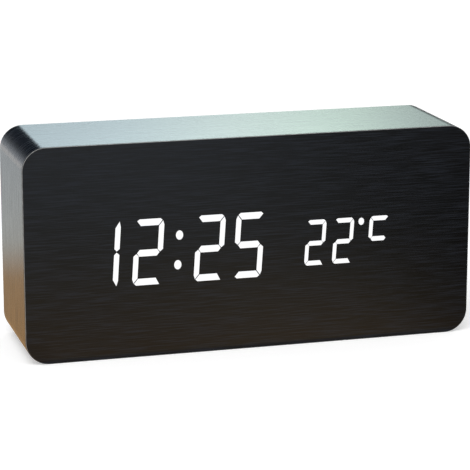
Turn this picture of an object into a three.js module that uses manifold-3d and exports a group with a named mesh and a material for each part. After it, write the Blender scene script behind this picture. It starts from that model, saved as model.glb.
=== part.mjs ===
// A box-shaped desk clock. Its readout shines through the thin black film on its front.
// Millimetres. X runs to the right seen from the front, the front faces -Y, and Z is up.
// The origin is the middle of the underside.

import * as THREE from 'three';
import { mergeVertices } from 'three/addons/utils/BufferGeometryUtils.js';
import Module from 'manifold-3d';

const wasm = await Module();
wasm.setup();

// The case
const caseLength = 150;
const caseHeight = 70.5;
const caseDepth = 40;
const cornerRadius = 7.7;
const faceFilmThickness = 0.5;
const wrapThickness = 0.4;
const glueLine = 0.1;
const wallThickness = 5;
const frontWallThickness = 5;
const postSize = 9;
const rebateRim = 2.5;

// Clearances
const fitGap = 0.3;
const touchGap = 0.1;
const threadGap = 0.15;
const cutOverrun = 1;

// The readout. It spans a set part of the front, so what it measures along X
// is in shares of the case's length.
const bigDigitShares = { width: 0.0639, upright: 0.0113, joint: 0.0026 };
const smallDigitShares = { width: 0.0448, upright: 0.0083, joint: 0.0014 };
const readoutShares = {
  minuteUnits: -0.00787,
  minutePitch: 0.0878,
  colonPitch: 0.13573,
  hourPitch: 0.09507,
  colonOffset: 0.06687,
  colonWidth: 0.016,
  degreeTens: 0.1427,
  smallPitch: 0.06353,
  unitPitch: 0.08067,
  degreePitch: 0.0392,
  degreeWidth: 0.0128,
};
const bigDigitHeight = 21.7;
const bigDigitBar = 2.2;
const smallDigitHeight = 15.2;
const smallDigitBar = 1.55;
const smallDigitRise = 2.6;
const readoutDrop = 0.5;
const colonHeight = 3.1;
const colonSpacing = 9.78;
const degreeHeight = 2.45;
const degreeDrop = 1.5;

// The display stack behind the front
const moduleMargin = 1.6;
const diffuserThickness = 0.4;
const boardThickness = 1.6;
const boardFlange = 4.5;

// The rear cover and its battery tray
const coverThickness = 2;
const coverRecess = 1.8;
const trayWall = 1.5;
const lidLap = 1.1;
const earLength = 3;
const earHeight = 4.4;

// The cells and their contacts
const cellCount = 3;
const cellDiameter = 10.5;
const cellLength = 44.5;
const cellSpacing = 0.6;
const contactThickness = 0.3;
const springLength = 4.4;
const springWire = 0.5;
const springBaseDiameter = 7.2;
const springTipDiameter = 4.4;

// The hinge of the battery door
const hingeRadius = 1.5;
const hingePinRadius = 0.75;
const hingePinLength = 2;
const hingePinGap = 0.12;

// The key board, its switches and buttons
const keyBoardDepth = 6.6;
const keyBoardEdge = 4.3;
const keyScrewInset = 2.8;
const buttonRowDrop = 4.65;
const buttonGapShare = 0.1075;
const buttonDiameter = 7;
const buttonProud = 1;
const buttonTravel = 0.5;
const switchWidth = 6;
const switchHeight = 3.5;
const socketBore = 3.6;

// How round things are divided
const cornerSteps = 10;
const roundSides = 16;
const screwSides = 10;
const cellSides = 20;
const springCurls = 4;
const springStepsPerCurl = 8;
const springSides = 5;
const leadSides = 8;

// Places that several pieces share
const skin = wrapThickness + glueLine;
const middleZ = caseHeight / 2;
const frontY = -caseDepth / 2;
const rearY = caseDepth / 2;
const boxFrontY = frontY + faceFilmThickness + glueLine;
const cavityFrontY = boxFrontY + frontWallThickness;
const coverOuterY = rearY - coverRecess;
const coverInnerY = coverOuterY - coverThickness;
const cavityHalfLength = caseLength / 2 - skin - wallThickness;
const cavityHalfHeight = caseHeight / 2 - skin - wallThickness;

const finishes = {
  faceFilm: { color: 0x1b1c1e, roughness: 0.42, metalness: 0 },
  wrapFilm: { color: 0x232426, roughness: 0.4, metalness: 0 },
  fibreboard: { color: 0x3a2f25, roughness: 0.9, metalness: 0 },
  litFilm: { color: 0xffffff, roughness: 0.5, metalness: 0 },
  whitePlastic: { color: 0xe8e8e2, roughness: 0.5, metalness: 0 },
  blackPlastic: { color: 0x17181a, roughness: 0.55, metalness: 0 },
  circuitBoard: { color: 0x1f5a37, roughness: 0.5, metalness: 0 },
  chipPlastic: { color: 0x202124, roughness: 0.6, metalness: 0 },
  steel: { color: 0xb9bcc0, roughness: 0.35, metalness: 1 },
  cellSleeve: { color: 0x2f6f73, roughness: 0.4, metalness: 0 },
  ribbonGrey: { color: 0x9ea2a6, roughness: 0.6, metalness: 0 },
  leadRed: { color: 0xb3231c, roughness: 0.5, metalness: 0 },
  leadBlack: { color: 0x141414, roughness: 0.5, metalness: 0 },
};

// Outlines are lists of points, across in X and up in Z

function circlePoints(radius, sides, middleX = 0, middleHeight = 0) {
  return ellipsePoints(radius, radius, sides, middleX, middleHeight);
}

function ellipsePoints(halfWidth, halfHeight, sides, middleX, middleHeight) {
  return Array.from({ length: sides }, (unused, index) => {
    const angle = (2 * Math.PI * index) / sides;
    return new THREE.Vector2(
      middleX + halfWidth * Math.cos(angle),
      middleHeight + halfHeight * Math.sin(angle),
    );
  });
}

function rectanglePoints(left, right, bottom, top) {
  return [[left, bottom], [right, bottom], [right, top], [left, top]]
    .map(([x, z]) => new THREE.Vector2(x, z));
}

function stadiumPoints(halfLength, radius, middleX, middleHeight) {
  const halfSides = roundSides / 2;
  const endPoints = (side) => Array.from({ length: halfSides + 1 }, (unused, index) => {
    const angle = Math.PI * (index / halfSides - 1 / 2);
    return new THREE.Vector2(
      middleX + side * (halfLength - radius + radius * Math.cos(angle)),
      middleHeight + side * radius * Math.sin(angle),
    );
  });
  return [...endPoints(1), ...endPoints(-1)];
}

// A rectangle with round corners, standing on the underside's level
function roundedPoints(halfLength, halfHeight, radius) {
  const points = [];
  const corners = [[1, -1], [1, 1], [-1, 1], [-1, -1]];
  corners.forEach(([sideX, sideZ], corner) => {
    for (let step = 0; step <= cornerSteps; step += 1) {
      const angle = (Math.PI / 2) * (corner - 1 + step / cornerSteps);
      points.push(new THREE.Vector2(
        sideX * (halfLength - radius) + radius * Math.cos(angle),
        middleZ + sideZ * (halfHeight - radius) + radius * Math.sin(angle),
      ));
    }
  });
  return points;
}

// Moves every side of a convex outline outwards by the same distance
function grownOutline(points, distance) {
  const turn = Math.sign(THREE.ShapeUtils.area(points));
  const sideNormal = (from, to) => {
    const along = to.clone().sub(from).normalize();
    return new THREE.Vector2(along.y, -along.x).multiplyScalar(turn);
  };
  return points.map((point, index) => {
    const before = points.at(index - 1);
    const after = points[(index + 1) % points.length];
    const normalIn = sideNormal(before, point);
    const normalOut = sideNormal(point, after);
    const reach = distance / (1 + normalIn.dot(normalOut));
    return point.clone().addScaledVector(normalIn.add(normalOut), reach);
  });
}

// Solids

function solidOf(geometry) {
  const bare = geometry.clone();
  bare.deleteAttribute('normal');
  bare.deleteAttribute('uv');
  const merged = mergeVertices(bare);
  const corners = merged.index.array;
  const kept = [];
  for (let first = 0; first < corners.length; first += 3) {
    const [a, b, c] = corners.slice(first, first + 3);
    if (a !== b && b !== c && c !== a) kept.push(a, b, c);
  }
  return new wasm.Manifold(new wasm.Mesh({
    numProp: 3,
    vertProperties: new Float32Array(merged.attributes.position.array),
    triVerts: new Uint32Array(kept),
  }));
}

function geometryOf(solid) {
  const mesh = solid.getMesh();
  const geometry = new THREE.BufferGeometry();
  geometry.setAttribute('position', new THREE.BufferAttribute(mesh.vertProperties, 3));
  geometry.setIndex(new THREE.BufferAttribute(mesh.triVerts, 1));
  geometry.computeVertexNormals();
  return geometry;
}

function joined(solids) {
  return solids.reduce((whole, solid) => whole.add(solid));
}

function without(body, cutters) {
  return cutters.reduce((left, cutter) => left.subtract(cutter), body);
}

// A flat outline drawn out from its front to its back
function slab(points, fromY, toY) {
  const shape = new THREE.Shape(points);
  const geometry = new THREE.ExtrudeGeometry(shape, { depth: toY - fromY, bevelEnabled: false });
  geometry.rotateX(Math.PI / 2);
  geometry.translate(0, toY, 0);
  return solidOf(geometry);
}

function piercedSlab(points, fromY, toY, holes) {
  const cutters = holes.map((hole) => slab(hole, fromY - cutOverrun, toY + cutOverrun));
  return without(slab(points, fromY, toY), cutters);
}

function block([left, right], [front, back], [bottom, top]) {
  return slab(rectanglePoints(left, right, bottom, top), front, back);
}

function rod(radius, fromY, toY, x, z, sides = roundSides) {
  return slab(circlePoints(radius, sides, x, z), fromY, toY);
}

// A profile of [radius, distance along the axis] pairs, turned round Y
function turned(profile, sides = roundSides) {
  const points = profile.map(([radius, along]) => new THREE.Vector2(radius, along));
  return solidOf(new THREE.LatheGeometry(points, sides));
}

function moved(solid, x, y, z) {
  return solid.translate([x, y, z]);
}

const clock = new THREE.Group();

function addPiece(name, solid, finish) {
  const mesh = new THREE.Mesh(geometryOf(solid), new THREE.MeshStandardMaterial(finishes[finish]));
  mesh.name = name;
  clock.add(mesh);
}

// The readout's segments. The shares give how a segment's ends are cut.
const cornerRunShare = 0.8;
const cornerTipShare = 0.27;
const freeTipShare = 0.05;
const cornerDropShare = 0.93;
const waistTipShare = 0.54;
const waistDropShare = 0.45;
const waistRunShare = 1.05;
const toeShare = 0.38;
const slantShare = 0.065;
const waistShares = { one: 0.53, two: 0.488, five: 0.51, smallTwo: 0.486, unit: 0.5 };

// One segment in its digit's own upright frame, from the digit's lower left corner.
// Letters a to g go clockwise from the top, with g in the middle. D is a bottom bar with a plain toe.
function segmentOutline(letter, digit, waist, standingTipShare) {
  const { width, height, bar, upright, joint } = digit;
  const gap = joint / 2;
  const tipIn = upright * cornerTipShare;
  const tipDown = bar * cornerTipShare;
  const waistIn = upright * waistTipShare;
  const run = upright * cornerRunShare;
  const levelEnds = (rightEnd) => [
    [run, 0],
    ...rightEnd,
    [width - upright - gap, bar],
    [upright + gap, bar],
    [tipIn + gap, tipDown],
  ];
  const pointedEnd = [[width - run, 0], [width - tipIn - gap, tipDown]];
  const plainEnd = [[width - upright * toeShare, 0]];
  const standing = (reach) => [
    [tipIn, bar * standingTipShare + gap],
    [upright, bar + gap],
    [upright, reach - bar * waistDropShare],
    [waistIn, reach - gap],
    [0, reach - bar * waistDropShare],
    [0, bar * cornerDropShare],
  ];
  const middleTip = waistIn + gap;
  const middleRun = middleTip + (upright - waistIn) * waistRunShare;
  const middle = [
    [middleTip, 0],
    [middleRun, -bar / 2],
    [width - middleRun, -bar / 2],
    [width - middleTip, 0],
    [width - middleRun, bar / 2],
    [middleRun, bar / 2],
  ];
  const outlines = {
    a: () => levelEnds(pointedEnd).map(([along, down]) => [along, height - down]),
    b: () => standing(height - waist).map(([inward, down]) => [width - inward, height - down]),
    c: () => standing(waist).map(([inward, up]) => [width - inward, up]),
    d: () => levelEnds(pointedEnd),
    D: () => levelEnds(plainEnd),
    e: () => standing(waist),
    f: () => standing(height - waist).map(([inward, down]) => [inward, height - down]),
    g: () => middle.map(([along, up]) => [along, waist + up]),
  };
  return outlines[letter]().map(([along, up]) => new THREE.Vector2(along, up));
}

function placedSegment(letter, glyph) {
  const { digit, middleX, base, waistShare, tipShare } = glyph;
  const outline = segmentOutline(letter, digit, digit.height * waistShare, tipShare);
  return outline.map((point) => new THREE.Vector2(
    middleX + point.x - digit.width / 2 + slantShare * (point.y - digit.height / 2),
    base + point.y,
  ));
}

const bigDigit = {
  width: caseLength * bigDigitShares.width,
  upright: caseLength * bigDigitShares.upright,
  joint: caseLength * bigDigitShares.joint,
  height: bigDigitHeight,
  bar: bigDigitBar,
};
const smallDigit = {
  width: caseLength * smallDigitShares.width,
  upright: caseLength * smallDigitShares.upright,
  joint: caseLength * smallDigitShares.joint,
  height: smallDigitHeight,
  bar: smallDigitBar,
};
const bigDigitBase = middleZ - bigDigitHeight / 2 - readoutDrop;
const smallDigitBase = bigDigitBase + smallDigitRise;
const minuteUnitsX = caseLength * readoutShares.minuteUnits;
const minuteTensX = minuteUnitsX - caseLength * readoutShares.minutePitch;
const hourUnitsX = minuteTensX - caseLength * readoutShares.colonPitch;
const hourTensX = hourUnitsX - caseLength * readoutShares.hourPitch;
const degreeTensX = caseLength * readoutShares.degreeTens;
const degreeUnitsX = degreeTensX + caseLength * readoutShares.smallPitch;
const unitX = degreeUnitsX + caseLength * readoutShares.unitPitch;
const allSegments = 'abcdefg';
const twoSegments = 'abgeD';

const bigStyle = { digit: bigDigit, base: bigDigitBase, tipShare: cornerTipShare };
const smallStyle = { digit: smallDigit, base: smallDigitBase, tipShare: cornerTipShare };
const bigGlyph = (middleX, waistShare, lit) => (
  { ...bigStyle, middleX, waistShare, lit, wells: allSegments }
);
const smallGlyph = (middleX, waistShare, lit, wells) => (
  { ...smallStyle, middleX, waistShare, lit, wells }
);
// The hour's tens has its two right-hand segments alone, so their outer tips run further
const tensGlyph = {
  ...bigStyle,
  middleX: hourTensX,
  waistShare: waistShares.one,
  tipShare: freeTipShare,
  lit: 'bc',
  wells: 'bc',
};
const glyphs = [
  tensGlyph,
  bigGlyph(hourUnitsX, waistShares.two, twoSegments),
  bigGlyph(minuteTensX, waistShares.two, twoSegments),
  bigGlyph(minuteUnitsX, waistShares.five, 'afgcd'),
  smallGlyph(degreeTensX, waistShares.smallTwo, twoSegments, allSegments),
  smallGlyph(degreeUnitsX, waistShares.smallTwo, twoSegments, allSegments),
  smallGlyph(unitX, waistShares.unit, 'afg', 'afg'),
];

const colonX = hourUnitsX + caseLength * readoutShares.colonOffset;
const colonZ = bigDigitBase + bigDigit.height / 2;
const colonDots = [-1, 1].map((side) => ellipsePoints(
  (caseLength * readoutShares.colonWidth) / 2,
  colonHeight / 2,
  roundSides,
  colonX + (side * slantShare * colonSpacing) / 2,
  colonZ + (side * colonSpacing) / 2,
));
const degreeDot = ellipsePoints(
  (caseLength * readoutShares.degreeWidth) / 2,
  degreeHeight / 2,
  roundSides,
  unitX - caseLength * readoutShares.degreePitch,
  smallDigitBase + smallDigit.height - degreeDrop,
);
const dots = [...colonDots, degreeDot];

const litOutlines = [
  ...glyphs.flatMap((glyph) => [...glyph.lit].map((letter) => placedSegment(letter, glyph))),
  ...dots,
];
const wellOutlines = [
  ...glyphs.flatMap((glyph) => [...glyph.wells].map((letter) => placedSegment(letter, glyph))),
  ...dots,
];

// The display window: the space that the digits take, with a margin
const digitLean = (slantShare * bigDigit.height) / 2;
const windowLeft = hourTensX - bigDigit.width / 2 - digitLean - moduleMargin;
const windowRight = unitX + smallDigit.width / 2 + digitLean + moduleMargin;
const windowBottom = bigDigitBase - moduleMargin;
const windowTop = bigDigitBase + bigDigit.height + moduleMargin;
const diffuserRearY = boxFrontY + diffuserThickness;
const boardRearY = cavityFrontY + boardThickness;

function windowPoints(margin) {
  return rectanglePoints(
    windowLeft - margin,
    windowRight + margin,
    windowBottom - margin,
    windowTop + margin,
  );
}

function cornersOf(left, right, bottom, top) {
  return [[left, bottom], [right, bottom], [right, top], [left, top]];
}

const displayScrewPlaces = cornersOf(
  windowLeft - boardFlange / 2,
  windowRight + boardFlange / 2,
  windowBottom - boardFlange / 2,
  windowTop + boardFlange / 2,
);
const coverScrewPlaces = cornersOf(
  -cavityHalfLength + postSize / 2,
  cavityHalfLength - postSize / 2,
  middleZ - cavityHalfHeight + postSize / 2,
  middleZ + cavityHalfHeight - postSize / 2,
);

// Screws, each turned round Y with its head at the back
const displayScrew = { shank: 1.2, head: 2.1, headHeight: 1.3, bite: 3.2, tip: 0.8 };
const keyScrew = { shank: 0.9, head: 1.8, headHeight: 1.1, bite: 4.4, tip: 0.7 };
const coverScrew = { shank: 1.4, head: 2.8, headHeight: 1.3, bite: 8, tip: 1.2 };
const domeHeightShare = 0.55;
const domeTopShare = 0.62;
const recessWidthShare = 0.3;
const recessReachShare = 1.1;
const recessDepthShare = 0.6;

function screwBody(size, throughLength) {
  const { shank, head, headHeight, bite, tip } = size;
  const length = throughLength + bite;
  return turned([
    [0, -length],
    [shank, tip - length],
    [shank, 0],
    [head, 0],
    [head, headHeight * domeHeightShare],
    [head * domeTopShare, headHeight],
    [0, headHeight],
  ], screwSides);
}

function crossRecess(size) {
  const wide = (size.head * recessWidthShare) / 2;
  const reach = (size.head * recessReachShare) / 2;
  const depth = [size.headHeight * (1 - recessDepthShare), size.headHeight + cutOverrun];
  return joined([
    block([-reach, reach], depth, [-wide, wide]),
    block([-wide, wide], depth, [-reach, reach]),
  ]);
}

function addScrews(name, size, throughLength, places, seatY, facing, withRecess) {
  const body = screwBody(size, throughLength);
  const shape = withRecess ? body.subtract(crossRecess(size)) : body;
  const aimed = facing > 0 ? shape : shape.rotate([180, 0, 0]);
  places.forEach(([x, z], index) => {
    addPiece(`${name}_${index + 1}`, moved(aimed, x, seatY, z), 'steel');
  });
}

function pilotHoles(size, places, fromY, toY) {
  return places.map(([x, z]) => rod(size.shank + threadGap, fromY, toY, x, z, screwSides));
}

// The box and its films

function crossedCavity() {
  const depth = [cavityFrontY, coverInnerY + cutOverrun];
  const low = middleZ - cavityHalfHeight;
  const high = middleZ + cavityHalfHeight;
  return joined([
    block([-cavityHalfLength, cavityHalfLength], depth, [low + postSize, high - postSize]),
    block([postSize - cavityHalfLength, cavityHalfLength - postSize], depth, [low, high]),
  ]);
}

function rebatePoints(gap) {
  const inset = skin + rebateRim + gap;
  return roundedPoints(caseLength / 2 - inset, caseHeight / 2 - inset, cornerRadius - inset);
}

function addCaseBody() {
  const outline = roundedPoints(caseLength / 2 - skin, caseHeight / 2 - skin, cornerRadius - skin);
  const displayPilot = cavityFrontY - displayScrew.bite - fitGap;
  const coverPilot = coverInnerY - coverScrew.bite - fitGap;
  const body = without(slab(outline, boxFrontY, rearY), [
    crossedCavity(),
    slab(rebatePoints(0), coverInnerY, rearY + cutOverrun),
    slab(windowPoints(fitGap), boxFrontY - cutOverrun, cavityFrontY + cutOverrun),
    ...pilotHoles(displayScrew, displayScrewPlaces, displayPilot, cavityFrontY + cutOverrun),
    ...pilotHoles(coverScrew, coverScrewPlaces, coverPilot, coverInnerY + cutOverrun),
  ]);
  addPiece('case_body', body, 'fibreboard');
}

function addSideWrap() {
  const outer = roundedPoints(caseLength / 2, caseHeight / 2, cornerRadius);
  const inner = roundedPoints(
    caseLength / 2 - wrapThickness,
    caseHeight / 2 - wrapThickness,
    cornerRadius - wrapThickness,
  );
  addPiece('side_wrap', piercedSlab(outer, boxFrontY, rearY, [inner]), 'wrapFilm');
}

function addFrontFace() {
  const outline = roundedPoints(caseLength / 2, caseHeight / 2, cornerRadius);
  const face = piercedSlab(outline, frontY, frontY + faceFilmThickness, litOutlines);
  addPiece('front_face', face, 'faceFilm');
}

// The display: lit bars on a thin sheet, light wells behind it, and the board that carries the lights

function addDiffuser() {
  const sheet = slab(windowPoints(0), boxFrontY, diffuserRearY);
  const bars = litOutlines.map((outline) => (
    slab(grownOutline(outline, -touchGap), frontY, boxFrontY + diffuserThickness / 2)
  ));
  addPiece('display_diffuser', joined([sheet, ...bars]), 'litFilm');
}

function addReflector() {
  const front = diffuserRearY + touchGap;
  const shell = piercedSlab(windowPoints(0), front, cavityFrontY - touchGap, wellOutlines);
  addPiece('display_reflector', shell, 'whitePlastic');
}

const lightLength = 1.6;
const lightWidth = 0.8;
const lightHeight = 0.7;

function lightChip(outline) {
  const xs = outline.map((point) => point.x);
  const zs = outline.map((point) => point.y);
  const spanX = Math.max(...xs) - Math.min(...xs);
  const spanZ = Math.max(...zs) - Math.min(...zs);
  const [wide, tall] = spanX > spanZ ? [lightLength, lightWidth] : [lightWidth, lightLength];
  const middleX = (Math.max(...xs) + Math.min(...xs)) / 2;
  const middleHeight = (Math.max(...zs) + Math.min(...zs)) / 2;
  return block(
    [middleX - wide / 2, middleX + wide / 2],
    [cavityFrontY - lightHeight, cavityFrontY + boardThickness / 2],
    [middleHeight - tall / 2, middleHeight + tall / 2],
  );
}

function addDisplayBoard() {
  const holes = displayScrewPlaces.map(([x, z]) => (
    circlePoints(displayScrew.shank + threadGap, screwSides, x, z)
  ));
  const board = piercedSlab(windowPoints(boardFlange), cavityFrontY, boardRearY, holes);
  addPiece('display_board', joined([board, ...wellOutlines.map(lightChip)]), 'circuitBoard');
  addScrews('display_screw', displayScrew, boardThickness, displayScrewPlaces, boardRearY, 1, false);
}

// What stands on the back of the display board
const windowMiddleX = (windowLeft + windowRight) / 2;
const windowMiddleZ = (windowBottom + windowTop) / 2;
const chip = { length: 10.3, width: 7.5, height: 2.3, pins: 8, pinWidth: 0.5, pinReach: 1.4, pinLift: 0.9 };
const chipPinDepthShare = 0.3;
const crystal = { length: 11, width: 4.6, height: 3.6 };
const buzzerSize = { diameter: 9, height: 5.5, soundHole: 1.6, soundDepth: 1.2 };
const componentPitch = 17;

function addControllerChip() {
  const middleX = windowMiddleX;
  const pinPitch = chip.length / chip.pins;
  const body = block(
    [middleX - chip.length / 2, middleX + chip.length / 2],
    [boardRearY + touchGap, boardRearY + chip.height],
    [windowMiddleZ - chip.width / 2, windowMiddleZ + chip.width / 2],
  );
  const pins = Array.from({ length: chip.pins }, (unused, index) => {
    const pinX = middleX + (index - (chip.pins - 1) / 2) * pinPitch;
    const reach = chip.width / 2 + chip.pinReach;
    return block(
      [pinX - chip.pinWidth / 2, pinX + chip.pinWidth / 2],
      [boardRearY, boardRearY + chip.height * chipPinDepthShare],
      [windowMiddleZ - reach, windowMiddleZ + reach],
    );
  });
  addPiece('controller_chip', joined([body, ...pins]), 'chipPlastic');
}

function addCrystal() {
  const middleX = windowMiddleX + componentPitch;
  const outline = stadiumPoints(crystal.length / 2, crystal.width / 2, middleX, windowMiddleZ);
  addPiece('clock_crystal', slab(outline, boardRearY, boardRearY + crystal.height), 'steel');
}

function addBuzzer() {
  const radius = buzzerSize.diameter / 2;
  const shape = turned([
    [0, 0],
    [radius, 0],
    [radius, buzzerSize.height],
    [buzzerSize.soundHole / 2, buzzerSize.height],
    [buzzerSize.soundHole / 2, buzzerSize.height - buzzerSize.soundDepth],
    [0, buzzerSize.height - buzzerSize.soundDepth],
  ]);
  const middleX = windowMiddleX + 2 * componentPitch;
  addPiece('buzzer', moved(shape, middleX, boardRearY, windowMiddleZ), 'blackPlastic');
}

// The rear cover: a plate in the case's rebate, the battery tray behind it, and the key board's bosses
const cellPitch = cellDiameter + cellSpacing;
const bayLength = cellLength + springLength + 2 * (contactThickness + 2 * touchGap);
const bayHeight = cellCount * cellPitch;
const openingRight = cavityHalfLength - postSize - earLength - fitGap;
const bayRight = openingRight - fitGap - lidLap;
const bayLeft = bayRight - bayLength;
const openingLeft = bayLeft - lidLap - fitGap;
const hingeY = coverOuterY - hingeRadius;
const hingeDrop = trayWall + fitGap + hingeRadius;
const bayBottom = middleZ + (hingeDrop + hingeRadius - bayHeight) / 2;
const bayTop = bayBottom + bayHeight;
const hingeZ = bayBottom - hingeDrop;
const openingBottom = hingeZ - hingeRadius - fitGap;
const lidTop = bayTop + lidLap;
const openingTop = lidTop + fitGap;
const cellY = coverInnerY - fitGap - cellDiameter / 2;
const trayFloorY = cellY - cellDiameter / 2 - fitGap;
const trayBackY = trayFloorY - trayWall;

// The key board fills the height between the posts, and its buttons spread over the room beside the bay
const flange = { radius: 4.7, thickness: 1 };
const keyRoomLeft = -cavityHalfLength;
const keyRoomRight = openingLeft - earLength;
const keyBoardX = (keyRoomLeft + keyRoomRight) / 2;
const buttonNames = ['down', 'up', 'set'];
const buttonRoom = keyRoomRight - keyRoomLeft - 2 * buttonNames.length * flange.radius;
const buttonPitch = 2 * flange.radius + buttonRoom * buttonGapShare;
const keyBoardLength = (buttonNames.length - 1) * buttonPitch + 2 * (flange.radius + keyBoardEdge);
const keyBoardHeight = 2 * (cavityHalfHeight - postSize - fitGap);
const keyBoardRearY = coverInnerY - keyBoardDepth;
const keyBoardFrontY = keyBoardRearY - boardThickness;
const bossRadius = 2.6;
const keyScrewPlaces = cornersOf(
  keyBoardX - keyBoardLength / 2 + keyScrewInset,
  keyBoardX + keyBoardLength / 2 - keyScrewInset,
  middleZ - keyBoardHeight / 2 + keyScrewInset,
  middleZ + keyBoardHeight / 2 - keyScrewInset,
);
const rowOffset = keyBoardHeight / 2 - keyScrewInset - buttonRowDrop;
const buttonZ = middleZ + rowOffset;
const socketZ = middleZ - rowOffset;
const buttons = buttonNames.map((name, index) => (
  { name, x: keyBoardX + (index - (buttonNames.length - 1) / 2) * buttonPitch }
));
const microphoneX = keyBoardX - buttonPitch;
const probeX = keyBoardX + buttonPitch;

const collarRadius = 3.1;
const soundTubeRadius = 2.4;
const soundHoleRadius = 0.9;
const ventCount = 5;
const ventPitch = 2.2;
const ventWidth = 1;
const ventHeight = 8;
const cradleRibHalf = 0.5;
const cradleRibHeight = 2.4;
const cradleRibShare = 0.5;
const thumbScoop = { width: 13, height: 4.2, depth: 0.9 };
const contactTabWidth = 2.4;

const lidMiddleX = (openingLeft + openingRight) / 2;
const cellPlaces = Array.from({ length: cellCount }, (unused, index) => ({
  name: `battery_cell_${index + 1}`,
  z: bayTop - cellPitch * (index + 1 / 2),
  plusSide: index % 2 === 0 ? 1 : -1,
}));
const topCell = cellPlaces[0];
const bottomCell = cellPlaces[cellCount - 1];

// The middle of a contact's plate at one end of the bay
function contactX(side) {
  const wall = side > 0 ? bayRight : bayLeft;
  return wall - side * (touchGap + contactThickness / 2);
}

function trayWalls() {
  const outer = block(
    [bayLeft - trayWall, bayRight + trayWall],
    [trayBackY, coverInnerY],
    [bayBottom - trayWall, bayTop + trayWall],
  );
  const inner = block([bayLeft, bayRight], [trayFloorY, coverInnerY + cutOverrun], [bayBottom, bayTop]);
  return outer.subtract(inner);
}

function cradleRibs() {
  const middleX = (bayLeft + bayRight) / 2;
  const reach = (bayLength * cradleRibShare) / 2;
  return cellPlaces.slice(1).map(({ z }) => block(
    [middleX - reach, middleX + reach],
    [trayBackY, trayFloorY + cradleRibHeight],
    [z + cellPitch / 2 - cradleRibHalf, z + cellPitch / 2 + cradleRibHalf],
  ));
}

function hingeEars() {
  const depth = [hingeY - earHeight / 2, coverInnerY + coverThickness / 2];
  const tall = [hingeZ - earHeight / 2, hingeZ + earHeight / 2];
  return [
    block([openingLeft - earLength, openingLeft], depth, tall),
    block([openingRight, openingRight + earLength], depth, tall),
  ];
}

function hingeBore() {
  const radius = hingePinRadius + hingePinGap;
  const reach = openingRight - openingLeft + 2 * (hingePinLength + fitGap);
  const bore = slab(circlePoints(radius, roundSides), 0, reach).rotate([0, 0, 90]);
  return moved(bore, lidMiddleX + reach / 2, hingeY, hingeZ);
}

function ventSlots(fromY, toY) {
  return Array.from({ length: ventCount }, (unused, index) => {
    const slotX = probeX + (index - (ventCount - 1) / 2) * ventPitch;
    return block(
      [slotX - ventWidth / 2, slotX + ventWidth / 2],
      [fromY, toY],
      [socketZ - ventHeight / 2, socketZ + ventHeight / 2],
    );
  });
}

function contactTabSlots() {
  return [[topCell, 1], [bottomCell, -1]].map(([cell, side]) => {
    const half = contactThickness / 2 + fitGap;
    const middleX = contactX(side) - side * (fitGap - touchGap);
    return block(
      [middleX - half, middleX + half],
      [trayBackY - cutOverrun, trayFloorY + cutOverrun],
      [cell.z - contactTabWidth / 2 - fitGap, cell.z + contactTabWidth / 2 + fitGap],
    );
  });
}

function addRearCover() {
  const through = [coverInnerY - cutOverrun, coverOuterY + cutOverrun];
  const [innerY, outerY] = through;
  const bossTopY = coverInnerY + coverThickness / 2;
  const soundTubeY = keyBoardRearY + microphoneHeight + fitGap;
  const bosses = keyScrewPlaces.map(([x, z]) => rod(bossRadius, keyBoardRearY, bossTopY, x, z));
  const soundTube = rod(soundTubeRadius, soundTubeY, bossTopY, microphoneX, socketZ);
  const opening = block([openingLeft, openingRight], through, [openingBottom, openingTop]);
  const plate = slab(rebatePoints(fitGap), coverInnerY, coverOuterY).subtract(opening);
  const shell = joined([plate, trayWalls(), ...cradleRibs(), ...hingeEars(), ...bosses, soundTube]);
  const headRadius = coverScrew.head + fitGap;
  const headSeatY = coverOuterY - coverScrew.headHeight;
  const pilotTopY = keyBoardRearY + keyScrew.bite + fitGap;
  const scoop = block(
    [lidMiddleX - thumbScoop.width / 2, lidMiddleX + thumbScoop.width / 2],
    [coverOuterY - thumbScoop.depth, outerY],
    [openingTop - cutOverrun, openingTop + thumbScoop.height],
  );
  const cover = without(shell, [
    ...pilotHoles(coverScrew, coverScrewPlaces, innerY, outerY),
    ...coverScrewPlaces.map(([x, z]) => rod(headRadius, headSeatY, outerY, x, z)),
    ...pilotHoles(keyScrew, keyScrewPlaces, keyBoardRearY - cutOverrun, pilotTopY),
    ...buttons.map(({ x }) => rod(buttonDiameter / 2 + fitGap, innerY, outerY, x, buttonZ)),
    rod(collarRadius + fitGap, innerY, outerY, keyBoardX, socketZ),
    rod(soundHoleRadius, soundTubeY - cutOverrun, outerY, microphoneX, socketZ),
    ...ventSlots(innerY, outerY),
    ...contactTabSlots(),
    hingeBore(),
    scoop,
  ]);
  addPiece('rear_cover', cover, 'blackPlastic');
  const heldThrough = coverThickness - coverScrew.headHeight;
  addScrews('cover_screw', coverScrew, heldThrough, coverScrewPlaces, headSeatY, 1, true);
}

// The battery door: a lid with a round lower edge, a pin at each end of it, and a latch at the top
const latch = { width: 12, slot: 0.9, length: 7, nibWidth: 6, nibDepth: 1.6, nibHeight: 1.2 };
const gripRib = { count: 3, width: 8, height: 0.9, pitch: 1.9, proud: 0.5 };
const gripStart = 2.2;

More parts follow.
